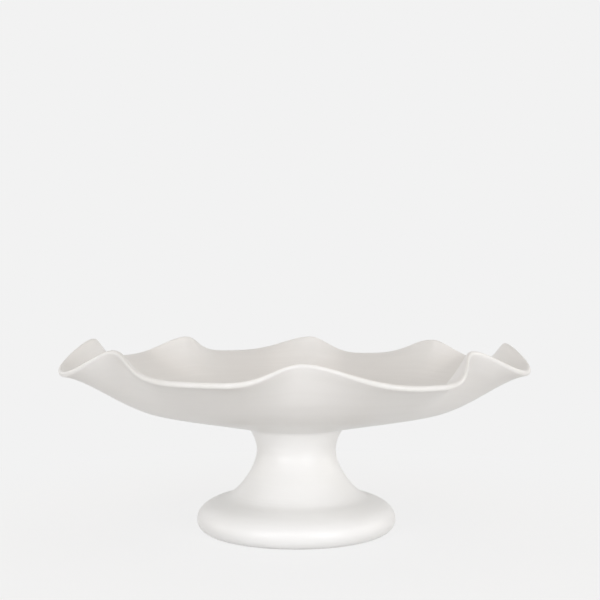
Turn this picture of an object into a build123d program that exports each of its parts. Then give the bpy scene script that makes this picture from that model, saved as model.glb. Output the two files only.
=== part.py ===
from build123d import *
import math
import os

# Glazed ceramic cake stand: a shallow plate with a hand-ruffled rim on a hollow, flared pedestal.
# Millimetres, +Z up. The origin is the centre of the foot ring, on the surface that the stand rests on.
# Every section is drawn in radius and height, and slopes are in degrees above the outward direction.
# A rise is a height over the seat where the plate meets the pedestal.

# Ruffled rim, measured at the middle of the lip: a crest stands up steeply, a valley flares out.
LOBES = 8
CREST_RADIUS = 134.0
CREST_RISE = 50.8
CREST_SLOPE = 58.0
CREST_SHARPNESS = 2.2
VALLEY_RADIUS = 148.0
VALLEY_RISE = 38.2
VALLEY_SLOPE = 6.0
LIP_THICKNESS = 3.4

# The rim is pinched by hand, so each crest and the valley after it stray a little. A crest rises
# within its lead, in degrees, and falls within its trail. A stray is how far a valley runs out.
CREST_TURNS = [0.5, -2.0, -4.5, -8.0, -8.0, -5.5, 1.0, 2.5]
CREST_LEADS = [37.5, 17.0, 17.0, 19.0, 31.0, 21.0, 19.0, 20.5]
CREST_TRAILS = [38.0, 33.0, 27.5, 21.5, 38.0, 32.5, 32.0, 24.5]
CREST_LIFTS = [1.0, -1.6, -1.4, 0.0, 3.1, 2.1, -1.7, 1.8]
VALLEY_LIFTS = [-0.7, -1.4, 0.4, 0.8, 0.3, 1.7, -0.8, 0.6]
VALLEY_STRAYS = [-4.0, -1.5, 2.0, -1.5, 0.5, 2.5, 3.5, 1.0]

# Wall of the plate, from its base ring out to the lip. A pull is how far an end holds its slope.
WALL_BASE_RADIUS = 98.0
WALL_BASE_RISE = 15.7
WALL_BASE_SLOPE = 20.0
WALL_BASE_THICKNESS = 4.4
WALL_BASE_PULL = 20.0
WALL_LIP_PULL = 14.0

# Flat well for the cake, and the shallow cone under it that runs in to the seat.
WELL_RADIUS = 72.0
WELL_RISE = 12.3
WELL_EDGE_BAND = 4.0
WELL_PULL = 8.5
CONE_SLOPE = 12.0
CONE_WALL_PULL = 8.0
CONE_SEAT_PULL = 25.0
SEAT_LAND = 1.8
FLOOR_THICKNESS = 6.0

# Pedestal, cast hollow: seat, waist, shoulder, rolled foot and the flat ring that it stands on.
SEAT_RADIUS = 30.0
SEAT_HEIGHT = 65.6
SEAT_SLOPE = 57.0
SEAT_PULL = 5.0
WAIST_RADIUS = 25.2
WAIST_HEIGHT = 51.5
WAIST_PULL_UP = 5.0
WAIST_PULL_DOWN = 12.0
SHOULDER_RADIUS = 46.0
SHOULDER_HEIGHT = 21.5
SHOULDER_SLOPE = -14.0
SHOULDER_PULL_IN = 7.5
SHOULDER_PULL_OUT = 8.0
BULGE_RADIUS = 63.2
BULGE_HEIGHT = 8.0
BULGE_PULL_UP = 8.0
BULGE_PULL_DOWN = 4.0
FOOT_RING_OUTER = 53.0
FOOT_RING_WIDTH = 4.0
FOOT_RING_PULL = 7.0
FOOT_RING_SLOPE = 45.0
PEDESTAL_WALL = 4.5
FOOT_WALL = 6.0

# Joint: a spigot under the plate drops into the bore of the pedestal, and liquid clay bonds the seats.
SLIP_THICKNESS = 0.5
SLIP_BEAD = 1.6
SPIGOT_CLEARANCE = 0.5
SPIGOT_WALL = 3.5
SPIGOT_DEPTH = 4.0

# How closely the loops of the plate follow its form.
POINTS_PER_LOBE = 12
WALL_TRAVELS = [0.0, 0.2, 0.4, 0.6, 0.76, 0.88, 0.96]
LIP_TURNS = [90.0, 45.0, 0.0, -45.0, -90.0]
WELL_STEPS = 5
CONE_STEPS = 10


def step_from(point, slope, distance):
    """Give the point that lies a distance from another, along a slope."""
    radius, height = point
    angle = math.radians(slope)
    return (radius + distance * math.cos(angle), height + distance * math.sin(angle))


def mix(start, end, share):
    """Blend two numbers."""
    return start + (end - start) * share


def flow(start, start_slope, start_pull, end, end_slope, end_pull):
    """Give the four control points of a curve that leaves and arrives at set slopes."""
    return [start, step_from(start, start_slope, start_pull), step_from(end, end_slope, -end_pull), end]


def along(controls, travel):
    """Give the point and the slope of a flow curve at a travel from 0 to 1."""
    rest = 1.0 - travel
    weights = [rest ** 3, 3 * rest ** 2 * travel, 3 * rest * travel ** 2, travel ** 3]
    speeds = [rest ** 2, 2 * rest * travel, travel ** 2]
    place = [sum(weight * point[axis] for weight, point in zip(weights, controls)) for axis in (0, 1)]
    legs = [(after[0] - before[0], after[1] - before[1]) for before, after in zip(controls, controls[1:])]
    run = sum(speed * leg[0] for speed, leg in zip(speeds, legs))
    rise = sum(speed * leg[1] for speed, leg in zip(speeds, legs))
    return (place[0], place[1]), math.degrees(math.atan2(rise, run))


def crest_azimuth(number):
    """Give the azimuth of a crest. Numbers past the last crest go on round the rim."""
    turns, lobe = divmod(number, LOBES)
    return turns * 360.0 + lobe * 360.0 / LOBES + CREST_TURNS[lobe % len(CREST_TURNS)]


def crest_share(distance, reach):
    """Give how much of a crest is left at a distance from its middle: all there, none at its reach."""
    progress = min(distance / reach, 1.0)
    return (0.5 + 0.5 * math.cos(math.pi * progress)) ** CREST_SHARPNESS


def rim_at(azimuth):
    """Give the lip's middle and slope at an azimuth, blended from the valley and the crests beside it."""
    first = crest_azimuth(0)
    azimuth = first + (azimuth - first) % 360.0
    before = max(number for number in range(LOBES) if crest_azimuth(number) <= azimuth)
    after = (before + 1) % LOBES
    trail = crest_share(azimuth - crest_azimuth(before), CREST_TRAILS[before % len(CREST_TRAILS)])
    lead = crest_share(crest_azimuth(before + 1) - azimuth, CREST_LEADS[after % len(CREST_LEADS)])
    share = trail + lead
    valley_height = SEAT_HEIGHT + VALLEY_RISE + VALLEY_LIFTS[before % len(VALLEY_LIFTS)]
    valley_radius = VALLEY_RADIUS + VALLEY_STRAYS[before % len(VALLEY_STRAYS)]
    crest_height = SEAT_HEIGHT + CREST_RISE
    lift = trail * CREST_LIFTS[before % len(CREST_LIFTS)] + lead * CREST_LIFTS[after % len(CREST_LIFTS)]
    middle = (mix(valley_radius, CREST_RADIUS, share), mix(valley_height, crest_height, share) + lift)
    return middle, mix(VALLEY_SLOPE, CREST_SLOPE, share)


def wall_at(azimuth, travel, side):
    """Give a point on the wall: side is 1 for the top, -1 for the underside."""
    lip, lip_slope = rim_at(azimuth)
    base = (WALL_BASE_RADIUS, SEAT_HEIGHT + WALL_BASE_RISE)
    middle_line = flow(base, WALL_BASE_SLOPE, WALL_BASE_PULL, lip, lip_slope, WALL_LIP_PULL)
    middle, slope = along(middle_line, travel)
    thickness = mix(WALL_BASE_THICKNESS, LIP_THICKNESS, travel)
    return step_from(middle, slope + 90.0, side * thickness / 2)


def lip_at(azimuth, turn):
    """Give a point on the rounded edge of the lip, at a turn from the way that the lip points."""
    lip, lip_slope = rim_at(azimuth)
    return step_from(lip, lip_slope + turn, LIP_THICKNESS / 2)


def well_at(travel):
    """Give a point on the top between the flat well and the base of the wall."""
    edge = (WELL_RADIUS, SEAT_HEIGHT + WELL_RISE)
    wall_base = wall_at(0.0, 0.0, 1)
    point, _ = along(flow(edge, 0.0, WELL_PULL, wall_base, WALL_BASE_SLOPE, WELL_PULL), travel)
    return point


def cone_at(travel):
    """Give a point on the underside between the base of the wall and the flat land round the seat."""
    wall_base = wall_at(0.0, 0.0, -1)
    land_edge = (SEAT_RADIUS + SEAT_LAND, SEAT_HEIGHT)
    inward = flow(land_edge, CONE_SLOPE, CONE_SEAT_PULL, wall_base, WALL_BASE_SLOPE, CONE_WALL_PULL)
    point, _ = along(inward, 1.0 - travel)
    return point


def loop_of(section):
    """Make a closed loop round the plate from a function that gives radius and height at an azimuth."""
    count = LOBES * POINTS_PER_LOBE
    points = []
    for number in range(count):
        azimuth = 360.0 * number / count
        radius, height = section(azimuth)
        angle = math.radians(azimuth)
        points.append((radius * math.cos(angle), radius * math.sin(angle), height))
    return Wire([Edge.make_spline(points, periodic=True)])


def plate_loops():
    """Give the loops of the plate in order: well, top of the wall, lip, underside of the wall, cone."""
    sections = [lambda azimuth: (WELL_RADIUS - WELL_EDGE_BAND, SEAT_HEIGHT + WELL_RISE)]
    sections += [lambda azimuth, t=step / WELL_STEPS: well_at(t) for step in range(WELL_STEPS)]
    sections += [lambda azimuth, t=travel: wall_at(azimuth, t, 1) for travel in WALL_TRAVELS]
    sections += [lambda azimuth, t=turn: lip_at(azimuth, t) for turn in LIP_TURNS]
    sections += [lambda azimuth, t=travel: wall_at(azimuth, t, -1) for travel in reversed(WALL_TRAVELS)]
    sections += [lambda azimuth, t=step / CONE_STEPS: cone_at(t) for step in range(1, CONE_STEPS + 1)]
    return [loop_of(section) for section in sections]


def bore_radius():
    """Give the radius of the pedestal's bore at its seat."""
    return SEAT_RADIUS - PEDESTAL_WALL / math.sin(math.radians(SEAT_SLOPE))


def spigot_radius():
    """Give the outer radius of the spigot, clear of the bore where the bore is narrowest round it."""
    narrowing = SPIGOT_DEPTH / math.tan(math.radians(SEAT_SLOPE))
    return bore_radius() - narrowing - SPIGOT_CLEARANCE


def tube(outer, inner, bottom, top):
    """Make a ring between two radii and two heights."""
    place = Location((0, 0, bottom))
    lowest = (Align.CENTER, Align.CENTER, Align.MIN)
    ring = Cylinder(outer, top - bottom, align=lowest)
    if inner > 0:
        ring -= Cylinder(inner, top - bottom, align=lowest)
    return place * ring


def ruffled_plate():
    """Make the plate: the lofted body, hollowed inside the seat, with the spigot under it."""
    body = Solid.make_loft(plate_loops())
    spigot_inner = spigot_radius() - SPIGOT_WALL
    spigot = tube(spigot_radius(), spigot_inner, SEAT_HEIGHT - SPIGOT_DEPTH, SEAT_HEIGHT)
    recess = tube(spigot_inner, 0, SEAT_HEIGHT, SEAT_HEIGHT + WELL_RISE - FLOOR_THICKNESS)
    return body - recess + spigot


def curve_edge(controls):
    """Draw a flow curve in the section plane."""
    return Bezier([(radius, 0, height) for radius, height in controls])


def straight_edge(start, end):
    """Draw a straight edge in the section plane."""
    return Line((start[0], 0, start[1]), (end[0], 0, end[1]))


def pedestal():
    """Make the pedestal by turning its section about the axis."""
    top_height = SEAT_HEIGHT - SLIP_THICKNESS
    seat = (SEAT_RADIUS, top_height)
    waist = (WAIST_RADIUS, WAIST_HEIGHT)
    shoulder = (SHOULDER_RADIUS, SHOULDER_HEIGHT)
    bulge = (BULGE_RADIUS, BULGE_HEIGHT)
    ring_outer = (FOOT_RING_OUTER, 0.0)
    outside = [
        flow(seat, SEAT_SLOPE - 180, SEAT_PULL, waist, -90, WAIST_PULL_UP),
        flow(waist, -90, WAIST_PULL_DOWN, shoulder, SHOULDER_SLOPE, SHOULDER_PULL_IN),
        flow(shoulder, SHOULDER_SLOPE, SHOULDER_PULL_OUT, bulge, -90, BULGE_PULL_UP),
        flow(bulge, -90, BULGE_PULL_DOWN, ring_outer, 180, FOOT_RING_PULL),
    ]
    bore = (bore_radius(), top_height)
    inner_waist = (WAIST_RADIUS - PEDESTAL_WALL, WAIST_HEIGHT)
    inner_shoulder = step_from(shoulder, SHOULDER_SLOPE - 90, PEDESTAL_WALL)
    inner_bulge = (BULGE_RADIUS - FOOT_WALL, BULGE_HEIGHT)
    ring_inner = (FOOT_RING_OUTER - FOOT_RING_WIDTH, 0.0)
    inward = SHOULDER_SLOPE + 180
    reach = PEDESTAL_WALL / 2
    flare_pull = SHOULDER_PULL_IN + reach
    inside = [
        flow(ring_inner, FOOT_RING_SLOPE, reach, inner_bulge, 90, reach),
        flow(inner_bulge, 90, reach, inner_shoulder, inward, reach),
        flow(inner_shoulder, inward, flare_pull, inner_waist, 90, WAIST_PULL_DOWN + reach),
        flow(inner_waist, 90, WAIST_PULL_UP, bore, SEAT_SLOPE, SEAT_PULL),
    ]
    edges = [curve_edge(controls) for controls in outside]
    edges.append(straight_edge(ring_outer, ring_inner))
    edges += [curve_edge(controls) for controls in inside]
    edges.append(straight_edge(bore, seat))
    return revolve(make_face(edges), axis=Axis.Z)


def joint_slip(stand):
    """Make the slip that fills the gap between the seats, with a smoothed bead round the outside."""
    bottom = SEAT_HEIGHT - SLIP_THICKNESS
    on_neck = step_from((SEAT_RADIUS, bottom), SEAT_SLOPE - 180, SLIP_BEAD)
    outline = [
        (bore_radius(), SEAT_HEIGHT),
        (bore_radius(), bottom),
        (on_neck[0] - SLIP_THICKNESS, bottom),
        (on_neck[0] - SLIP_THICKNESS, on_neck[1]),
        on_neck,
        (SEAT_RADIUS + SLIP_BEAD, SEAT_HEIGHT),
        (bore_radius(), SEAT_HEIGHT),
    ]
    edges = [straight_edge(start, end) for start, end in zip(outline, outline[1:])]
    return revolve(make_face(edges), axis=Axis.Z) - stand


pedestal_solid = pedestal()
nodes = {
    "ruffled_plate": ruffled_plate(),
    "pedestal": pedestal_solid,
    "joint_slip": joint_slip(pedestal_solid),
}

os.makedirs("parts", exist_ok=True)
for name, shape in nodes.items():
    export_step(shape, "parts/" + name + ".step")
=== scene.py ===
"""Ruffled cake stand in white glazed ceramic: a pinched plate on a hollow, flared pedestal.

Each casting is turned as a stack of rings, from an outline drawn in radius and height. The plate's
wall is then pinched into eight ruffles that stray a little, as a hand leaves them. Sizes are in
metres, slopes in degrees above the outward direction, and a rise is a height over the seat.
"""

import logging
import math
from collections.abc import Callable
from dataclasses import dataclass, field
from enum import Enum

import bpy
import numpy as np
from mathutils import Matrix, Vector


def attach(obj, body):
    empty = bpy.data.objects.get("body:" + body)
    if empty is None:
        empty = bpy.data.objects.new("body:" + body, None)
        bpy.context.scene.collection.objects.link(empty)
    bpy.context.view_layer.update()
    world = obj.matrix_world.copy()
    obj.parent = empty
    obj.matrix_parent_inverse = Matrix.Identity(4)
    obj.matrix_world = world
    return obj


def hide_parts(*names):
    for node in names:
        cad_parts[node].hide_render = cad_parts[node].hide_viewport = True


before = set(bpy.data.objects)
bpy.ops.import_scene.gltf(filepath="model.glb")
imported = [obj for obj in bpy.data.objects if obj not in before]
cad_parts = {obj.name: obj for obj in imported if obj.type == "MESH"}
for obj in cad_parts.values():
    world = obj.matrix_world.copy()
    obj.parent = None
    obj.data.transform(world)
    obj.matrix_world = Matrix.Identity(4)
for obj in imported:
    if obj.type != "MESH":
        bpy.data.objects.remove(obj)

log = logging.getLogger("cake_stand")

Place = tuple[float, float]
Range = tuple[float, float]
Spot = tuple[float, float, float]
Section = Callable[[float], Place]
Colour = tuple[float, float, float, float]
Tint = tuple[float, float, float]

COOL_TINT: Tint = (0.98, 0.975, 1.0)
WARM_TINT: Tint = (1.0, 0.955, 0.905)
WARMER_TINT: Tint = (1.0, 0.875, 0.765)

QUARTER_TURN = 90.0
HALF_TURN = 180.0
FULL_TURN = 360.0
# Slopes of a plumb line, up and down, and of a level one towards the axis.
UP = QUARTER_TURN
DOWN = -QUARTER_TURN
INWARD = HALF_TURN

# A Mix node numbers the sockets of each data type after one another. These are its colours.
MIX_FIRST = 6
MIX_SECOND = 7
MIX_RESULT = 2


class Face(Enum):
    """The side of the plate's wall that a section runs along."""

    TOP = 1
    UNDERSIDE = -1


class Ending(Enum):
    """How a stack of rings is closed."""

    POLES = "a fan at each end"
    JOINED = "the last ring joined to the first"


def mix(start: float, end: float, share: float) -> float:
    """Blend two numbers.

    Args:
        start: Value at a share of 0.
        end: Value at a share of 1.
        share: How far from start to end.

    Returns:
        The blended number.
    """
    return start + (end - start) * share


def step_from(place: Place, slope: float, distance: float) -> Place:
    """Step along a slope.

    Args:
        place: Radius and height to start from.
        slope: Degrees above the outward direction.
        distance: How far to step.

    Returns:
        The radius and height arrived at.
    """
    angle = math.radians(slope)
    return place[0] + distance * math.cos(angle), place[1] + distance * math.sin(angle)


@dataclass(frozen=True)
class Flow:
    """A smooth stretch of outline that leaves and arrives at set slopes."""

    start: Place
    start_slope: float
    start_pull: float
    end: Place
    end_slope: float
    end_pull: float

    def at(self, travel: float) -> tuple[Place, float]:
        """Give the place and slope part of the way along.

        Args:
            travel: Share of the way, from 0 to 1.

        Returns:
            The radius and height, and the slope there.
        """
        leave = step_from(self.start, self.start_slope, self.start_pull)
        arrive = step_from(self.end, self.end_slope, -self.end_pull)
        points = (self.start, leave, arrive, self.end)
        rest = 1.0 - travel
        weights = (rest**3, 3 * rest**2 * travel, 3 * rest * travel**2, travel**3)
        speeds = (rest**2, 2 * rest * travel, travel**2)
        radius = sum(weight * point[0] for weight, point in zip(weights, points))
        height = sum(weight * point[1] for weight, point in zip(weights, points))
        legs = [
            (after[0] - before[0], after[1] - before[1])
            for before, after in zip(points, points[1:])
        ]
        run = sum(speed * leg[0] for speed, leg in zip(speeds, legs))
        rise = sum(speed * leg[1] for speed, leg in zip(speeds, legs))
        return (radius, height), math.degrees(math.atan2(rise, run))

    def steps(self, count: int) -> list[Place]:
        """Give evenly spaced places along the flow, without its last one.

        Args:
            count: Number of places.

        Returns:
            The places in order.
        """
        return [self.at(number / count)[0] for number in range(count)]


@dataclass(frozen=True)
class Ring:
    """One ring of a casting: where it runs, and how thickly the glaze lies on it from 0 to 1."""

    section: Section
    glaze: float


def level(place: Place, glaze: float) -> Ring:
    """Make a ring that is the same all the way round.

    Args:
        place: Radius and height.
        glaze: How thickly the glaze lies.

    Returns:
        The ring.
    """
    return Ring(lambda azimuth: place, glaze)


@dataclass(frozen=True)
class Casting:
    """A hollow or solid form built up ring by ring.

    The round form is taken from the outline at the quiet azimuth. A point nearer the axis than the
    pole radius is a pole and stays on it. Edges sharper than the crease, in degrees, stay sharp.
    """

    name: str
    rings: list[Ring]
    segments: int
    ending: Ending
    crease: float
    quiet_azimuth: float = 0.0
    pole_radius: float = 0.0001

    def turn(self) -> bpy.types.Object:
        """Build the round form, pinch it to its sections and note the glaze on it.

        Returns:
            The finished object, at the origin.
        """
        outline = [ring.section(self.quiet_azimuth) for ring in self.rings]
        piece = self._stack(outline)
        numbers = self._ring_numbers(piece.data, outline)
        self._pinch(piece.data, numbers)
        self._note_glaze(piece.data, numbers)
        self._note_travel(piece.data, numbers, outline)
        bpy.ops.object.shade_smooth_by_angle(angle=math.radians(self.crease))
        bpy.ops.object.select_all(action="DESELECT")
        return piece

    def _stack(self, outline: list[Place]) -> bpy.types.Object:
        """Extrude the rings from a circle and close the form.

        Args:
            outline: Radius and height of each ring.

        Returns:
            The round object.
        """
        poles = self.ending is Ending.POLES
        bpy.ops.object.select_all(action="DESELECT")
        first_radius, first_height = outline[0]
        bpy.ops.mesh.primitive_circle_add(
            vertices=self.segments,
            radius=first_radius,
            fill_type="TRIFAN" if poles else "NOTHING",
            location=(0.0, 0.0, first_height),
        )
        piece = bpy.context.active_object
        piece.name = self.name
        piece.data.name = self.name
        bpy.ops.object.transform_apply(location=True, rotation=False, scale=False)
        bpy.ops.object.mode_set(mode="EDIT")
        bpy.ops.mesh.select_mode(type="EDGE")
        self._pick_open_edges()
        for (radius, height), (next_radius, next_height) in zip(outline, outline[1:]):
            lift = (0.0, 0.0, next_height - height)
            bpy.ops.mesh.extrude_region_move(TRANSFORM_OT_translate={"value": lift})
            share = next_radius / radius
            bpy.ops.transform.resize(
                value=(share, share, 1.0), center_override=(0.0, 0.0, next_height)
            )
        if poles:
            bpy.ops.mesh.extrude_region_move(TRANSFORM_OT_translate={"value": (0.0, 0.0, 0.0)})
            bpy.ops.mesh.merge(type="CENTER")
        else:
            self._pick_open_edges()
            bpy.ops.mesh.bridge_edge_loops()
        bpy.ops.mesh.select_all(action="SELECT")
        bpy.ops.mesh.normals_make_consistent(inside=False)
        bpy.ops.object.mode_set(mode="OBJECT")
        return piece

    @staticmethod
    def _pick_open_edges() -> None:
        """Select the edges with no face on one or both sides."""
        bpy.ops.mesh.select_all(action="DESELECT")
        bpy.ops.mesh.select_non_manifold(
            extend=False,
            use_wire=True,
            use_boundary=True,
            use_multi_face=False,
            use_non_contiguous=False,
            use_verts=False,
        )

    @staticmethod
    def _ring_numbers(mesh: bpy.types.Mesh, outline: list[Place]) -> np.ndarray:
        """Find which ring each point of the round form belongs to.

        Args:
            mesh: The round form.
            outline: Radius and height of each ring.

        Returns:
            The ring's number for each point.
        """
        flat = np.empty(len(mesh.vertices) * 3)
        mesh.vertices.foreach_get("co", flat)
        points = flat.reshape(-1, 3)
        places = np.stack([np.hypot(points[:, 0], points[:, 1]), points[:, 2]], axis=1)
        gaps = places[:, None, :] - np.array(outline)[None, :, :]
        return np.argmin((gaps**2).sum(axis=2), axis=1)

    def _pinch(self, mesh: bpy.types.Mesh, numbers: np.ndarray) -> None:
        """Move each point of the round form to where its ring runs at its azimuth.

        Args:
            mesh: The round form.
            numbers: The ring's number for each point.
        """
        for vertex, number in zip(mesh.vertices, numbers):
            radius = math.hypot(vertex.co.x, vertex.co.y)
            if radius < self.pole_radius:
                continue
            angle = math.atan2(vertex.co.y, vertex.co.x)
            new_radius, new_height = self.rings[number].section(math.degrees(angle))
            vertex.co = (new_radius * math.cos(angle), new_radius * math.sin(angle), new_height)
        mesh.update()

    def _note_glaze(self, mesh: bpy.types.Mesh, numbers: np.ndarray) -> None:
        """Keep how thickly the glaze lies at each point as an attribute.

        Args:
            mesh: The finished form.
            numbers: The ring's number for each point.
        """
        depth = mesh.attributes.new("glaze_depth", "FLOAT", "POINT")
        depth.data.foreach_set("value", [self.rings[number].glaze for number in numbers])

    @staticmethod
    def _note_travel(mesh: bpy.types.Mesh, numbers: np.ndarray, outline: list[Place]) -> None:
        """Keep how far along the outline each point lies, in metres, as an attribute.

        Args:
            mesh: The finished form.
            numbers: The ring's number for each point.
            outline: Radius and height of each ring.
        """
        steps = [math.dist(before, after) for before, after in zip(outline, outline[1:])]
        travels = np.concatenate([[0.0], np.cumsum(steps)])
        travel = mesh.attributes.new("outline_travel", "FLOAT", "POINT")
        travel.data.foreach_set("value", travels[numbers])


@dataclass(frozen=True)
class Ruffles:
    """The pinched rim: crests that stand up steeply, between valleys that flare out."""

    lobes: int = 8
    crest_radius: float = 0.134
    crest_rise: float = 0.0508
    crest_slope: float = 58.0
    crest_sharpness: float = 2.2
    valley_radius: float = 0.148
    valley_rise: float = 0.0382
    valley_slope: float = 6.0
    crest_turns: tuple[float, ...] = (0.5, -2.0, -4.5, -8.0, -8.0, -5.5, 1.0, 2.5)
    crest_leads: tuple[float, ...] = (37.5, 17.0, 17.0, 19.0, 31.0, 21.0, 19.0, 20.5)
    crest_trails: tuple[float, ...] = (38.0, 33.0, 27.5, 21.5, 38.0, 32.5, 32.0, 24.5)
    crest_lifts: tuple[float, ...] = (
        0.001, -0.0016, -0.0014, 0.0, 0.0031, 0.0021, -0.0017, 0.0018
    )
    valley_lifts: tuple[float, ...] = (
        -0.0007, -0.0014, 0.0004, 0.0008, 0.0003, 0.0017, -0.0008, 0.0006
    )
    valley_strays: tuple[float, ...] = (
        -0.004, -0.0015, 0.002, -0.0015, 0.0005, 0.0025, 0.0035, 0.001
    )

    def crest_azimuth(self, number: int) -> float:
        """Give the azimuth of a crest, counting on round the rim.

        Args:
            number: The crest's number.

        Returns:
            Degrees round the axis.
        """
        turns, lobe = divmod(number, self.lobes)
        return turns * FULL_TURN + lobe * FULL_TURN / self.lobes + self.crest_turns[lobe]

    def crest_share(self, distance: float, reach: float) -> float:
        """Give how much of a crest is left beside its middle.

        Args:
            distance: Degrees from the crest's middle.
            reach: Degrees at which none is left.

        Returns:
            A share from 0 to 1.
        """
        progress = min(distance / reach, 1.0)
        return (0.5 + 0.5 * math.cos(math.pi * progress)) ** self.crest_sharpness

    def at(self, azimuth: float, seat_height: float) -> tuple[Place, float]:
        """Give the middle of the lip and the way that it points.

        Args:
            azimuth: Degrees round the axis.
            seat_height: Height of the plate's seat.

        Returns:
            The radius and height of the lip's middle, and its slope.
        """
        first = self.crest_azimuth(0)
        azimuth = first + (azimuth - first) % FULL_TURN
        before = max(
            number for number in range(self.lobes) if self.crest_azimuth(number) <= azimuth
        )
        after = (before + 1) % self.lobes
        trail = self.crest_share(azimuth - self.crest_azimuth(before), self.crest_trails[before])
        gap = self.crest_azimuth(before + 1) - azimuth
        lead = self.crest_share(gap, self.crest_leads[after])
        share = trail + lead
        lift = trail * self.crest_lifts[before] + lead * self.crest_lifts[after]
        rise = mix(self.valley_rise + self.valley_lifts[before], self.crest_rise, share) + lift
        radius = mix(self.valley_radius + self.valley_strays[before], self.crest_radius, share)
        return (radius, seat_height + rise), mix(self.valley_slope, self.crest_slope, share)


def group_of(
    name: str, inputs: dict[str, float], outputs: dict[str, str]
) -> bpy.types.ShaderNodeTree:
    """Start a shader node group with a Point input, number inputs and typed outputs.

    Args:
        name: The group's name.
        inputs: Name and usual value of each number that it takes.
        outputs: Name and socket type of each thing that it gives.

    Returns:
        The group, with its two end nodes named In and Out.
    """
    group = bpy.data.node_groups.new(name, "ShaderNodeTree")
    group.interface.new_socket("Point", in_out="INPUT", socket_type="NodeSocketVector")
    for label, value in inputs.items():
        socket = group.interface.new_socket(label, in_out="INPUT", socket_type="NodeSocketFloat")
        socket.default_value = value
    for label, kind in outputs.items():
        group.interface.new_socket(label, in_out="OUTPUT", socket_type=kind)
    group.nodes.new("NodeGroupInput").name = "In"
    group.nodes.new("NodeGroupOutput").name = "Out"
    return group


@dataclass
class Bench:
    """A node tree to place shader nodes in, a line at a time."""

    tree: bpy.types.NodeTree

    def node(self, kind: str, settings: dict | None = None, **values: object) -> bpy.types.Node:
        """Add a node, set it up and feed its inputs.

        Args:
            kind: The node's type.
            settings: Properties of the node itself.
            values: Inputs by name, underscores for spaces: a socket to link, or a value to set.

        Returns:
            The new node.
        """
        made = self.tree.nodes.new(kind)
        for label, value in (settings or {}).items():
            setattr(made, label, value)
        for label, value in values.items():
            self.feed(made.inputs[label.replace("_", " ")], value)
        return made

    def feed(self, socket: bpy.types.NodeSocket, value: object) -> None:
        """Link a socket to another, or set its value.

        Args:
            socket: The input to feed.
            value: The socket to link, or the value to set.
        """
        if isinstance(value, bpy.types.NodeSocket):
            self.tree.links.new(value, socket)
        else:
            socket.default_value = value

    def maths(self, operation: str, first: object, second: object) -> bpy.types.NodeSocket:
        """Work out one number from two.

        Args:
            operation: The Math node's operation.
            first: First socket or number.
            second: Second socket or number.

        Returns:
            The result's socket.
        """
        made = self.node("ShaderNodeMath", {"operation": operation})
        self.feed(made.inputs[0], first)
        self.feed(made.inputs[1], second)
        return made.outputs[0]

    def span(
        self, value: object, reach: Range, to_low: float, to_high: float
    ) -> bpy.types.NodeSocket:
        """Carry a number smoothly from one range to another.

        Args:
            value: The socket or number.
            reach: Where the first range starts and ends.
            to_low: What its start becomes.
            to_high: What its end becomes.

        Returns:
            The result's socket.
        """
        made = self.node(
            "ShaderNodeMapRange",
            {"interpolation_type": "SMOOTHSTEP"},
            Value=value,
            From_Min=reach[0],
            From_Max=reach[1],
            To_Min=to_low,
            To_Max=to_high,
        )
        return made.outputs["Result"]

    def blend(self, factor: object, first: object, second: object) -> bpy.types.NodeSocket:
        """Mix two colours.

        Args:
            factor: Share of the second colour.
            first: First colour or socket.
            second: Second colour or socket.

        Returns:
            The mixed colour's socket.
        """
        made = self.node("ShaderNodeMix", {"data_type": "RGBA"})
        self.feed(made.inputs[0], factor)
        self.feed(made.inputs[MIX_FIRST], first)
        self.feed(made.inputs[MIX_SECOND], second)
        return made.outputs[MIX_RESULT]

    def noise(
        self, point: bpy.types.NodeSocket, scale: float, detail: float
    ) -> bpy.types.NodeSocket:
        """Add a noise pattern.

        Args:
            point: Where the pattern is read.
            scale: Repeats per metre.
            detail: Octaves of finer noise.

        Returns:
            The noise's value, about 0.5 in the middle.
        """
        made = self.node("ShaderNodeTexNoise", Vector=point, Scale=scale, Detail=detail)
        return made.outputs["Fac"]


@dataclass(frozen=True)
class TurningLines:
    """The node group for the faint lines that turning leaves round the clay."""

    detail: float = 2.0
    contrast: Range = (0.25, 0.75)

    def make(self) -> bpy.types.ShaderNodeTree:
        """Build the group.

        Returns:
            The group. It takes the travel along the outline and gives a pattern from 0 to 1.
        """
        usual = {"Travel": 0.0, "Lines": 260.0, "Wander": 9.0}
        group = group_of("turning_lines", usual, {"Line": "NodeSocketFloat"})
        bench = Bench(group)
        taken = group.nodes["In"].outputs
        slow = bench.node("ShaderNodeVectorMath", {"operation": "SCALE"}, Scale=taken["Wander"])
        bench.feed(slow.inputs[0], taken["Point"])
        fast = bench.maths("MULTIPLY", taken["Travel"], taken["Lines"])
        pattern = bench.node(
            "ShaderNodeTexNoise",
            {"noise_dimensions": "4D"},
            W=fast,
            Scale=1.0,
            Detail=self.detail,
        )
        bench.feed(pattern.inputs["Vector"], slow.outputs[0])
        line = bench.span(pattern.outputs["Fac"], self.contrast, 0.0, 1.0)
        bench.feed(group.nodes["Out"].inputs["Line"], line)
        return group


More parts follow.
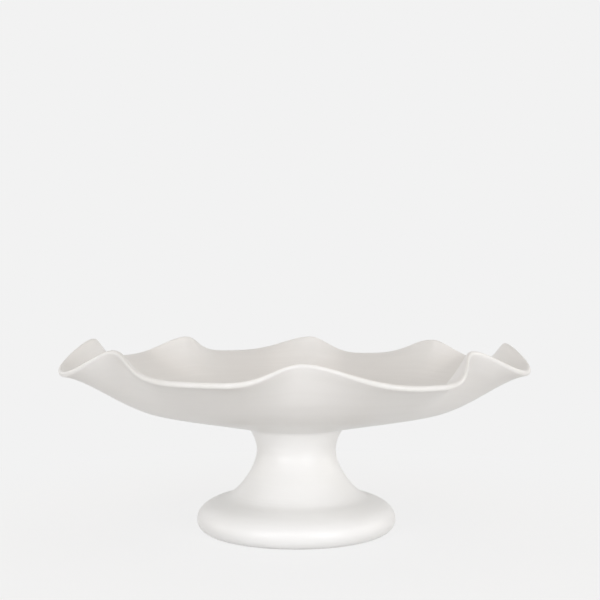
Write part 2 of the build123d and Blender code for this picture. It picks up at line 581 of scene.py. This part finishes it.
@dataclass(frozen=True)
class GlazeTone:
    """The node group for the glaze's colour: thin on edges, deeper where it pooled, clouded."""

    stray_scale: float = 55.0
    stray_detail: float = 3.0
    thin: Range = (0.02, 0.3)
    pooled: Range = (0.6, 1.0)
    cloud_scale: float = 14.0
    cloud_detail: float = 2.0
    cloud_contrast: Range = (0.3, 0.7)
    line_share: float = 0.5

    def make(self) -> bpy.types.ShaderNodeTree:
        """Build the group.

        Returns:
            The group. It takes the glaze's depth and gives masks of thin, pooled and clouded glaze.
        """
        mask = "NodeSocketFloat"
        usual = {"Depth": 0.5, "Mottle": 0.5, "Line": 0.5}
        group = group_of("glaze_tone", usual, {"Thin": mask, "Pooled": mask, "Cloud": mask})
        bench = Bench(group)
        taken = group.nodes["In"].outputs
        given = group.nodes["Out"].inputs
        wander = bench.noise(taken["Point"], self.stray_scale, self.stray_detail)
        stray = bench.maths("MULTIPLY", bench.maths("SUBTRACT", wander, 0.5), taken["Mottle"])
        depth = bench.maths("ADD", taken["Depth"], stray)
        bench.feed(given["Thin"], bench.span(depth, self.thin, 1.0, 0.0))
        bench.feed(given["Pooled"], bench.span(depth, self.pooled, 0.0, 1.0))
        drift = bench.noise(taken["Point"], self.cloud_scale, self.cloud_detail)
        cloud = bench.span(drift, self.cloud_contrast, 0.0, 1.0 - self.line_share)
        lined = bench.maths("MULTIPLY", taken["Line"], self.line_share)
        bench.feed(given["Cloud"], bench.maths("ADD", cloud, lined))
        return group


@dataclass(frozen=True)
class GlazeSkin:
    """The node group for the glaze's surface: waves, turning lines, fine peel, rare pinholes."""

    wave_scale: float = 24.0
    wave_detail: float = 1.0
    peel_scale: float = 420.0
    peel_detail: float = 1.0
    cell_scale: float = 130.0
    rare_cells: Range = (0.975, 0.98)
    pinhole_edge: Range = (0.02, 0.05)
    pinhole_matt: float = 0.4
    haze_scale: float = 70.0
    haze_detail: float = 3.0
    haze: float = 0.08

    def make(self) -> bpy.types.ShaderNodeTree:
        """Build the group.

        Returns:
            The group. It takes how strong each mark is, and gives a roughness and a height.
        """
        number = "NodeSocketFloat"
        usual = {
            "Waves": 1.0, "Peel": 0.25, "Rings": 0.3, "Line": 0.5, "Pinholes": 0.6, "Gloss": 0.16
        }
        group = group_of("glaze_skin", usual, {"Roughness": number, "Height": number})
        bench = Bench(group)
        taken = group.nodes["In"].outputs
        given = group.nodes["Out"].inputs
        point = taken["Point"]
        swells = bench.noise(point, self.wave_scale, self.wave_detail)
        waves = bench.maths("MULTIPLY", swells, taken["Waves"])
        grains = bench.noise(point, self.peel_scale, self.peel_detail)
        peel = bench.maths("MULTIPLY", grains, taken["Peel"])
        cells = bench.node("ShaderNodeTexVoronoi", Vector=point, Scale=self.cell_scale)
        chosen = bench.node("ShaderNodeSeparateColor", Color=cells.outputs["Color"]).outputs[0]
        rare = bench.span(chosen, self.rare_cells, 0.0, 1.0)
        dimple = bench.span(cells.outputs["Distance"], self.pinhole_edge, 1.0, 0.0)
        holes = bench.maths("MULTIPLY", rare, dimple)
        pinhole = bench.maths("MULTIPLY", holes, taken["Pinholes"])
        rings = bench.maths("MULTIPLY", taken["Line"], taken["Rings"])
        raised = bench.maths("ADD", bench.maths("ADD", waves, peel), rings)
        bench.feed(given["Height"], bench.maths("SUBTRACT", raised, pinhole))
        breath = bench.noise(point, self.haze_scale, self.haze_detail)
        haze = bench.maths("MULTIPLY", breath, self.haze)
        matt = bench.maths("MULTIPLY", pinhole, self.pinhole_matt)
        satin = bench.maths("ADD", taken["Gloss"], haze)
        bench.feed(given["Roughness"], bench.maths("ADD", satin, matt))
        return group


@dataclass
class GlazeGroups:
    """The node groups that every glaze shares, built once."""

    lines: bpy.types.ShaderNodeTree = field(default_factory=TurningLines().make)
    tone: bpy.types.ShaderNodeTree = field(default_factory=GlazeTone().make)
    skin: bpy.types.ShaderNodeTree = field(default_factory=GlazeSkin().make)


@dataclass(frozen=True)
class GlazeFinish:
    """White satin glaze, and the bare clay where it is wiped off up to a height."""

    name: str
    body: Colour = (0.858, 0.857, 0.839, 1.0)
    clouded: Colour = (0.832, 0.829, 0.808, 1.0)
    thin: Colour = (0.785, 0.783, 0.747, 1.0)
    pooled: Colour = (0.845, 0.843, 0.826, 1.0)
    bare_clay: Colour = (0.80, 0.765, 0.71, 1.0)
    waves: float = 0.5
    peel: float = 0.08
    rings: float = 0.35
    pinholes: float = 0.15
    gloss: float = 0.30
    coat: float = 0.08
    coat_roughness: float = 0.1
    refraction: float = 1.5
    bump_strength: float = 0.35
    bump_depth: float = 0.0006
    wiped_height: float = 0.0
    wiped_edge: Range = (0.3, 0.6)
    wiped_scale: float = 120.0
    wiped_detail: float = 2.0
    bare_roughness: float = 0.85

    def make(self, groups: GlazeGroups) -> bpy.types.Material:
        """Build the material.

        Args:
            groups: The shared node groups.

        Returns:
            The material.
        """
        material = bpy.data.materials.new(self.name)
        material.use_nodes = True
        tree = material.node_tree
        tree.nodes.clear()
        bench = Bench(tree)
        point = bench.node("ShaderNodeTexCoord").outputs["Object"]
        depth = bench.node("ShaderNodeAttribute", {"attribute_name": "glaze_depth"})
        travel = bench.node("ShaderNodeAttribute", {"attribute_name": "outline_travel"})
        lines = bench.node(
            "ShaderNodeGroup",
            {"node_tree": groups.lines},
            Point=point,
            Travel=travel.outputs["Fac"],
        )
        line = lines.outputs["Line"]
        tone = bench.node(
            "ShaderNodeGroup",
            {"node_tree": groups.tone},
            Point=point,
            Depth=depth.outputs["Fac"],
            Line=line,
        )
        skin = bench.node(
            "ShaderNodeGroup",
            {"node_tree": groups.skin},
            Point=point,
            Waves=self.waves,
            Peel=self.peel,
            Rings=self.rings,
            Line=line,
            Pinholes=self.pinholes,
            Gloss=self.gloss,
        )
        colour = bench.blend(tone.outputs["Cloud"], self.body, self.clouded)
        colour = bench.blend(tone.outputs["Pooled"], colour, self.pooled)
        colour = bench.blend(tone.outputs["Thin"], colour, self.thin)
        roughness = skin.outputs["Roughness"]
        shader = bench.node(
            "ShaderNodeBsdfPrincipled",
            IOR=self.refraction,
            Coat_Weight=self.coat,
            Coat_Roughness=self.coat_roughness,
        )
        if self.wiped_height > 0:
            wiped = self._wiped(bench, point)
            colour = bench.blend(wiped, colour, self.bare_clay)
            dry = bench.maths("MULTIPLY", wiped, self.bare_roughness)
            roughness = bench.maths("MAXIMUM", roughness, dry)
            glazed = bench.maths("SUBTRACT", 1.0, wiped)
            bench.feed(shader.inputs["Coat Weight"], bench.maths("MULTIPLY", glazed, self.coat))
        bump = bench.node(
            "ShaderNodeBump",
            Strength=self.bump_strength,
            Distance=self.bump_depth,
            Height=skin.outputs["Height"],
        )
        bench.feed(shader.inputs["Base Color"], colour)
        bench.feed(shader.inputs["Roughness"], roughness)
        bench.feed(shader.inputs["Normal"], bump.outputs["Normal"])
        out = bench.node("ShaderNodeOutputMaterial")
        tree.links.new(shader.outputs["BSDF"], out.inputs["Surface"])
        return material

    def _wiped(self, bench: Bench, point: bpy.types.NodeSocket) -> bpy.types.NodeSocket:
        """Mask the foot ring, where the glaze is wiped off along an uneven line.

        Args:
            bench: The material's node tree.
            point: Place on the piece.

        Returns:
            1 on bare clay and 0 on glaze.
        """
        height = bench.node("ShaderNodeSeparateXYZ", Vector=point).outputs["Z"]
        stray = bench.noise(point, self.wiped_scale, self.wiped_detail)
        wobble = bench.maths("MULTIPLY", stray, self.wiped_height)
        edge = bench.maths("SUBTRACT", height, wobble)
        low, high = self.wiped_edge
        return bench.span(edge, (self.wiped_height * low, self.wiped_height * high), 1.0, 0.0)


@dataclass
class Joint:
    """Sizes of the joint where the plate sits on the pedestal."""

    seat_radius: float = 0.030
    seat_height: float = 0.0656
    seat_slope: float = 57.0
    slip_thickness: float = 0.0005
    slip_bead: float = 0.0016
    pedestal_wall: float = 0.0045
    spigot_clearance: float = 0.0005
    spigot_wall: float = 0.0035
    spigot_depth: float = 0.004

    def bore_radius(self) -> float:
        """Give the radius of the pedestal's bore at the seat."""
        return self.seat_radius - self.pedestal_wall / math.sin(math.radians(self.seat_slope))

    def spigot_radius(self) -> float:
        """Give the outer radius of the spigot under the plate."""
        narrowing = self.spigot_depth / math.tan(math.radians(self.seat_slope))
        return self.bore_radius() - narrowing - self.spigot_clearance


@dataclass
class Pedestal:
    """The hollow stem and foot, cast in one and open underneath."""

    joint: Joint
    groups: GlazeGroups
    waist_radius: float = 0.0252
    waist_height: float = 0.0515
    waist_pull_up: float = 0.005
    waist_pull_down: float = 0.012
    shoulder_radius: float = 0.046
    shoulder_height: float = 0.0215
    shoulder_slope: float = -14.0
    shoulder_pull_in: float = 0.0075
    shoulder_pull_out: float = 0.008
    bulge_radius: float = 0.0632
    bulge_height: float = 0.008
    bulge_pull_up: float = 0.008
    bulge_pull_down: float = 0.004
    foot_ring_outer: float = 0.053
    foot_ring_width: float = 0.004
    foot_ring_pull: float = 0.007
    foot_ring_slope: float = 45.0
    foot_ring_edge: float = 0.0004
    seat_pull: float = 0.005
    foot_wall: float = 0.006
    steps: int = 14
    segments: int = 224
    crease: float = 38.0
    # Deep glaze near the seat takes the pedestal's lightened pooled tone: painted light on the neck
    # under the plate.
    outside_glazes: tuple[float, ...] = (0.9, 0.55, 0.35, 0.45, 0.5)
    inside_glazes: tuple[float, ...] = (0.4, 0.5, 0.5, 0.5, 0.5)
    edge_glaze: float = 0.5

    def build(self) -> bpy.types.Object:
        """Turn the pedestal, outside first.

        Returns:
            The pedestal.
        """
        joint = self.joint
        top = joint.seat_height - joint.slip_thickness
        seat = (joint.seat_radius, top)
        bore = (joint.bore_radius(), top)
        ring_outer = (self.foot_ring_outer, 0.0)
        ring_inner = (self.foot_ring_outer - self.foot_ring_width, 0.0)
        ring_edge = (ring_inner[0] + self.foot_ring_edge, 0.0)
        rings = self._along(self._outside(seat, ring_outer), self.outside_glazes)
        rings.append(level(ring_outer, self.edge_glaze))
        rings.append(level(ring_edge, self.edge_glaze))
        rings += self._along(self._inside(ring_inner, bore), self.inside_glazes)
        rings.append(level(bore, self.edge_glaze))
        return Casting("pedestal_glazed", rings, self.segments, Ending.JOINED, self.crease).turn()

    def _outside(self, seat: Place, ring_outer: Place) -> list[Flow]:
        """Give the outside of the pedestal, from the seat down to the foot ring.

        Args:
            seat: Outer edge of the seat.
            ring_outer: Outer edge of the foot ring.

        Returns:
            The stretches of outline in order.
        """
        waist = (self.waist_radius, self.waist_height)
        shoulder = (self.shoulder_radius, self.shoulder_height)
        bulge = (self.bulge_radius, self.bulge_height)
        leave = self.joint.seat_slope - HALF_TURN
        slope = self.shoulder_slope
        return [
            Flow(seat, leave, self.seat_pull, waist, DOWN, self.waist_pull_up),
            Flow(waist, DOWN, self.waist_pull_down, shoulder, slope, self.shoulder_pull_in),
            Flow(shoulder, slope, self.shoulder_pull_out, bulge, DOWN, self.bulge_pull_up),
            Flow(bulge, DOWN, self.bulge_pull_down, ring_outer, INWARD, self.foot_ring_pull),
        ]

    def _inside(self, ring_inner: Place, bore: Place) -> list[Flow]:
        """Give the inside of the pedestal, from the foot ring up to the bore.

        Args:
            ring_inner: Inner edge of the foot ring.
            bore: Edge of the bore at the seat.

        Returns:
            The stretches of outline in order.
        """
        wall = self.joint.pedestal_wall
        shoulder = (self.shoulder_radius, self.shoulder_height)
        inner_shoulder = step_from(shoulder, self.shoulder_slope - QUARTER_TURN, wall)
        inner_waist = (self.waist_radius - wall, self.waist_height)
        inner_bulge = (self.bulge_radius - self.foot_wall, self.bulge_height)
        back = self.shoulder_slope + HALF_TURN
        reach = wall / 2
        flare_pull = self.shoulder_pull_in + reach
        waist_pull = self.waist_pull_down + reach
        return [
            Flow(ring_inner, self.foot_ring_slope, reach, inner_bulge, UP, reach),
            Flow(inner_bulge, UP, reach, inner_shoulder, back, reach),
            Flow(inner_shoulder, back, flare_pull, inner_waist, UP, waist_pull),
            Flow(inner_waist, UP, self.waist_pull_up, bore, self.joint.seat_slope, self.seat_pull),
        ]

    def _along(self, flows: list[Flow], glazes: tuple[float, ...]) -> list[Ring]:
        """Make rings along an outline.

        Args:
            flows: The outline's stretches.
            glazes: How thickly the glaze lies at each end of each stretch.

        Returns:
            The rings in order.
        """
        rings = []
        for flow, glaze, next_glaze in zip(flows, glazes, glazes[1:]):
            for number, place in enumerate(flow.steps(self.steps)):
                rings.append(level(place, mix(glaze, next_glaze, number / self.steps)))
        return rings

    def dress(self, piece: bpy.types.Object) -> None:
        """Glaze the pedestal in a lighter copy of the plate's glaze, as painted light, and give it
        to its body.

        Args:
            piece: The turned pedestal.
        """
        finish = GlazeFinish(
            "pedestal_glaze_painted_lighter",
            # Painted light: the pedestal carries the plate's white glaze in lighter tones, and its
            # pooled tone, lightest of all, lies at the neck in the plate's shade.
            body=(0.900, 0.902, 0.890, 1.0),
            clouded=(0.886, 0.888, 0.874, 1.0),
            pooled=(0.925, 0.927, 0.915, 1.0),
            gloss=0.36,
            wiped_height=0.0009,
        )
        piece.data.materials.append(finish.make(self.groups))
        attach(piece, "root")
        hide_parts("pedestal")


@dataclass
class JointSlip:
    """The clay slip that bonds the seats, smoothed to a small cove outside."""

    joint: Joint
    groups: GlazeGroups
    cove_steps: int = 8
    sunk: float = 0.0001
    segments: int = 224
    crease: float = 50.0
    cove_glaze: float = 0.95
    seat_glaze: float = 0.9

    def build(self) -> bpy.types.Object:
        """Turn the slip.

        Returns:
            The slip.
        """
        joint = self.joint
        bottom = joint.seat_height - joint.slip_thickness
        leave = joint.seat_slope - HALF_TURN
        on_neck = step_from((joint.seat_radius, bottom), leave, joint.slip_bead)
        on_plate = (joint.seat_radius + joint.slip_bead, joint.seat_height)
        pull = joint.slip_bead / 2
        cove = Flow(on_plate, INWARD, pull, on_neck, leave, pull)
        rings = [level(place, self.cove_glaze) for place in cove.steps(self.cove_steps)]
        rings.append(level(on_neck, self.cove_glaze))
        inside = [
            (on_neck[0] - self.sunk, on_neck[1] + self.sunk),
            (joint.seat_radius - self.sunk, bottom),
            (joint.bore_radius(), bottom),
            (joint.bore_radius(), joint.seat_height),
        ]
        rings += [level(place, self.seat_glaze) for place in inside]
        return Casting("joint_slip_glazed", rings, self.segments, Ending.JOINED, self.crease).turn()

    def dress(self, piece: bpy.types.Object) -> None:
        """Glaze the slip, its pooled tone lightened as painted light in the shaded joint, and give
        it to its body.

        Args:
            piece: The turned slip.
        """
        finish = GlazeFinish(
            "slip_glaze_painted_lighter",
            # Painted light: the slip's pooled tone is lighter than the plate's and lifts the shade
            # in the joint under the plate.
            pooled=(0.90, 0.902, 0.89, 1.0),
            peel=0.14,
            rings=0.0,
        )
        piece.data.materials.append(finish.make(self.groups))
        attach(piece, "root")
        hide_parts("joint_slip")


@dataclass
class RuffledPlate:
    """The plate: a flat well, a sloping wall, the pinched rim and the spigot underneath."""

    joint: Joint
    groups: GlazeGroups
    ruffles: Ruffles = field(default_factory=Ruffles)
    lip_thickness: float = 0.0034
    lip_shy: float = 0.00004
    wall_base_radius: float = 0.098
    wall_base_rise: float = 0.0157
    wall_base_slope: float = 20.0
    wall_base_thickness: float = 0.0044
    wall_base_pull: float = 0.020
    wall_lip_pull: float = 0.014
    well_radius: float = 0.072
    well_rise: float = 0.0123
    well_pull: float = 0.0085
    cone_slope: float = 12.0
    cone_wall_pull: float = 0.008
    cone_seat_pull: float = 0.025
    seat_land: float = 0.0018
    floor_thickness: float = 0.006
    wall_steps: int = 22
    lip_steps: int = 10
    well_steps: int = 8
    cone_steps: int = 14
    segments: int = 360
    crease: float = 50.0
    quiet_azimuth: float = 25.0
    well_rings: tuple[float, ...] = (0.006, 0.018, 0.032, 0.046, 0.058, 0.066)
    well_glaze: float = 0.5
    well_edge_glaze: float = 0.75
    wall_base_glaze: float = 0.6
    wall_top_glaze: float = 0.42
    lip_thinning: float = 0.24
    underside_glaze: float = 0.5
    neck_glaze: float = 0.9
    neck_pooling: int = 3
    spigot_glaze: float = 0.5

    def lip(self, azimuth: float) -> tuple[Place, float]:
        """Give the middle of the lip and its slope."""
        return self.ruffles.at(azimuth, self.joint.seat_height)

    def wall_at(self, azimuth: float, travel: float, face: Face) -> Place:
        """Give a place on the wall.

        Args:
            azimuth: Degrees round the axis.
            travel: Share of the way from the wall's base to its lip.
            face: Top or underside.

        Returns:
            The radius and height.
        """
        lip, slope = self.lip(azimuth)
        base = (self.wall_base_radius, self.joint.seat_height + self.wall_base_rise)
        middle = Flow(
            base, self.wall_base_slope, self.wall_base_pull, lip, slope, self.wall_lip_pull
        )
        place, wall_slope = middle.at(travel)
        lip_thickness = self.lip_thickness - self.lip_shy
        thickness = mix(self.wall_base_thickness, lip_thickness, travel)
        return step_from(place, wall_slope + QUARTER_TURN, face.value * thickness / 2)

    def lip_at(self, azimuth: float, turn: float) -> Place:
        """Give a place on the rounded edge, at a turn from the way that the lip points."""
        lip, slope = self.lip(azimuth)
        return step_from(lip, slope + turn, (self.lip_thickness - self.lip_shy) / 2)

    def build(self) -> bpy.types.Object:
        """Turn the plate and pinch its rim.

        Returns:
            The plate.
        """
        rings = self._well() + self._wall() + self._underside()
        casting = Casting(
            "ruffled_plate_glazed",
            rings,
            self.segments,
            Ending.POLES,
            self.crease,
            self.quiet_azimuth,
        )
        return casting.turn()

    def _well(self) -> list[Ring]:
        """Give the rings of the well.

        Returns:
            The rings, from the middle to the base of the wall.
        """
        floor = self.joint.seat_height + self.well_rise
        rings = [level((radius, floor), self.well_glaze) for radius in self.well_rings]
        edge = Flow(
            (self.well_radius, floor),
            0.0,
            self.well_pull,
            self.wall_at(0.0, 0.0, Face.TOP),
            self.wall_base_slope,
            self.well_pull,
        )
        rings += [level(place, self.well_edge_glaze) for place in edge.steps(self.well_steps)]
        return rings

    def _wall(self) -> list[Ring]:
        """Give the rings of the wall.

        Returns:
            The rings, up the wall, round the lip and back down the underside.
        """
        travels = [number / self.wall_steps for number in range(self.wall_steps)]
        glazes = [mix(self.wall_base_glaze, self.wall_top_glaze, travel) for travel in travels]
        rings = [
            Ring(lambda azimuth, t=travel: self.wall_at(azimuth, t, Face.TOP), glaze)
            for travel, glaze in zip(travels, glazes)
        ]
        for number in range(self.lip_steps + 1):
            turn = QUARTER_TURN - HALF_TURN * number / self.lip_steps
            glaze = self.wall_top_glaze - self.lip_thinning * math.cos(math.radians(turn))
            rings.append(Ring(lambda azimuth, t=turn: self.lip_at(azimuth, t), glaze))
        rings += [
            Ring(lambda azimuth, t=travel: self.wall_at(azimuth, t, Face.UNDERSIDE), glaze)
            for travel, glaze in zip(reversed(travels), reversed(glazes))
        ]
        return rings

    def _underside(self) -> list[Ring]:
        """Give the rings of the underside.

        Returns:
            The rings, from under the wall in to the seat and round the spigot.
        """
        joint = self.joint
        land_edge = (joint.seat_radius + self.seat_land, joint.seat_height)
        wall_base = self.wall_at(0.0, 0.0, Face.UNDERSIDE)
        cone = Flow(
            land_edge,
            self.cone_slope,
            self.cone_seat_pull,
            wall_base,
            self.wall_base_slope,
            self.cone_wall_pull,
        )
        rings = []
        for number in range(1, self.cone_steps + 1):
            travel = number / self.cone_steps
            glaze = mix(self.underside_glaze, self.neck_glaze, travel**self.neck_pooling)
            rings.append(level(cone.at(1.0 - travel)[0], glaze))
        spigot_bottom = joint.seat_height - joint.spigot_depth
        spigot_inner = joint.spigot_radius() - joint.spigot_wall
        recess_top = joint.seat_height + self.well_rise - self.floor_thickness
        rings.append(level((joint.spigot_radius(), joint.seat_height), self.neck_glaze))
        spigot = [
            (joint.spigot_radius(), spigot_bottom),
            (spigot_inner, spigot_bottom),
            (spigot_inner, recess_top),
            (self.well_rings[0], recess_top),
        ]
        rings += [level(place, self.spigot_glaze) for place in spigot]
        return rings

    def dress(self, piece: bpy.types.Object) -> None:
        """Glaze the plate and give it to its body.

        Args:
            piece: The turned plate.
        """
        finish = GlazeFinish("plate_white_glaze")
        piece.data.materials.append(finish.make(self.groups))
        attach(piece, "root")
        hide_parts("ruffled_plate")


@dataclass(frozen=True)
class SoftBox:
    """A large diffused lamp."""

    name: str
    place: Spot
    width: float
    height: float
    power: float
    tint: Tint = COOL_TINT

    def hang(self, target: Vector) -> None:
        """Hang the lamp so that it faces a point.

        Args:
            target: What the lamp faces.
        """
        data = bpy.data.lights.new(self.name, "AREA")
        data.shape = "RECTANGLE"
        data.size = self.width
        data.size_y = self.height
        data.energy = self.power
        data.color = self.tint
        lamp = bpy.data.objects.new(self.name, data)
        lamp.location = self.place
        lamp.rotation_euler = (target - Vector(self.place)).to_track_quat("-Z", "Y").to_euler()
        bpy.context.scene.collection.objects.link(lamp)


@dataclass
class Studio:
    """The plain pale floor, the lamps, the surround and the camera."""

    backdrop: Colour = (0.888, 0.888, 0.888, 1.0)
    surround: Colour = (0.155, 0.15, 0.145, 1.0)
    floor_size: float = 12.0
    floor_colour: Colour = (0.80, 0.795, 0.785, 1.0)
    shadow_reach: Range = (0.13, 0.34)
    shadow_share: float = 0.15
    shadow_lift: float = 0.43
    camera_place: Spot = (0.0, -0.7434, 0.1615)
    camera_aim: Spot = (0.00236, 0.0, 0.1468)
    camera_lens: float = 70.02
    lamp_aim: Spot = (0.0, 0.0, 0.07)
    lamps: tuple[SoftBox, ...] = (
        SoftBox("front_left_soft_box", (-1.3, -2.0, 0.30), 1.4, 0.6, 14.6),
        SoftBox("front_right_soft_box", (1.3, -2.0, 0.30), 1.4, 0.6, 17.4),
        SoftBox("left_soft_box", (-2.3, 0.2, 0.60), 1.6, 1.2, 9.0, WARM_TINT),
        SoftBox("right_soft_box", (2.3, 0.2, 0.60), 1.6, 1.2, 11.8, WARM_TINT),
        SoftBox("high_front_soft_box", (0.0, -2.1, 1.05), 3.0, 1.0, 16.5),
        SoftBox("overhead_soft_box", (0.0, 0.2, 2.40), 2.4, 2.0, 15.0, WARMER_TINT),
        SoftBox("back_left_soft_box", (-1.8, 1.5, 0.90), 1.8, 1.2, 3.0),
        SoftBox("back_right_soft_box", (1.8, 1.5, 0.90), 1.8, 1.2, 3.0),
    )

    def build(self) -> None:
        """Lay the floor, light the room and set up the camera."""
        self._lay_floor()
        self._light_room()
        for lamp in self.lamps:
            lamp.hang(Vector(self.lamp_aim))
        self._place_camera()

    def _seen(self, bench: Bench) -> bpy.types.NodeSocket:
        """Tell the rays that show the backdrop: seen, reflected or through glass.

        Args:
            bench: The material's or the surround's node tree.

        Returns:
            1 for those rays and 0 for the rest.
        """
        path = bench.node("ShaderNodeLightPath").outputs
        some = bench.maths("MAXIMUM", path["Is Camera Ray"], path["Is Glossy Ray"])
        return bench.maths("MAXIMUM", some, path["Is Transmission Ray"])

    def _lay_floor(self) -> None:
        """Lay a pale floor that fades into the backdrop and keeps a soft shadow."""
        bpy.ops.object.select_all(action="DESELECT")
        bpy.ops.mesh.primitive_plane_add(size=self.floor_size)
        floor = bpy.context.active_object
        floor.name = "studio_floor"
        material = bpy.data.materials.new("pale_floor")
        material.use_nodes = True
        tree = material.node_tree
        tree.nodes.clear()
        bench = Bench(tree)
        point = bench.node("ShaderNodeTexCoord").outputs["Object"]
        away = bench.node("ShaderNodeVectorMath", {"operation": "LENGTH"}, Vector=point)
        near = bench.span(away.outputs["Value"], self.shadow_reach, self.shadow_share, 0.0)
        hidden = bench.maths("SUBTRACT", 1.0, near)
        lit = bench.maths("MULTIPLY", self._seen(bench), hidden)
        matt = bench.node("ShaderNodeBsdfDiffuse", Color=self.floor_colour)
        lift = bench.maths("ADD", 1.0, bench.maths("MULTIPLY", near, self.shadow_lift))
        glow = bench.node("ShaderNodeEmission", Color=self.backdrop, Strength=lift)
        joined = bench.node("ShaderNodeMixShader", Fac=lit)
        tree.links.new(matt.outputs[0], joined.inputs[1])
        tree.links.new(glow.outputs[0], joined.inputs[2])
        out = bench.node("ShaderNodeOutputMaterial")
        tree.links.new(joined.outputs[0], out.inputs["Surface"])
        floor.data.materials.append(material)
        bpy.ops.object.select_all(action="DESELECT")

    def _light_room(self) -> None:
        """Set the even surround, and the backdrop that is seen in its place."""
        world = bpy.data.worlds.new("studio_surround")
        bpy.context.scene.world = world
        world.use_nodes = True
        tree = world.node_tree
        tree.nodes.clear()
        bench = Bench(tree)
        seen = bench.node("ShaderNodeBackground", Color=self.backdrop, Strength=1.0)
        even = bench.node("ShaderNodeBackground", Color=self.surround, Strength=1.0)
        joined = bench.node("ShaderNodeMixShader", Fac=self._seen(bench))
        tree.links.new(even.outputs[0], joined.inputs[1])
        tree.links.new(seen.outputs[0], joined.inputs[2])
        out = bench.node("ShaderNodeOutputWorld")
        tree.links.new(joined.outputs[0], out.inputs["Surface"])

    def _place_camera(self) -> None:
        """Put the camera a little above the rim, looking almost level."""
        data = bpy.data.cameras.new("studio_camera")
        data.lens = self.camera_lens
        camera = bpy.data.objects.new("studio_camera", data)
        camera.location = self.camera_place
        sight = Vector(self.camera_aim) - Vector(self.camera_place)
        camera.rotation_euler = sight.to_track_quat("-Z", "Y").to_euler()
        bpy.context.scene.collection.objects.link(camera)
        bpy.context.scene.camera = camera


def main() -> None:
    """Build the stand piece by piece, light it and log each piece's face count."""
    logging.basicConfig(level=logging.INFO, format="%(name)s: %(message)s")
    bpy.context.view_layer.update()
    bpy.context.scene.view_settings.view_transform = "Standard"
    joint = Joint()
    groups = GlazeGroups()
    for maker in (Pedestal(joint, groups), JointSlip(joint, groups), RuffledPlate(joint, groups)):
        piece = maker.build()
        maker.dress(piece)
        log.info("%s: %d faces", piece.name, len(piece.data.polygons))
    Studio().build()


if __name__ == "__main__":
    main()
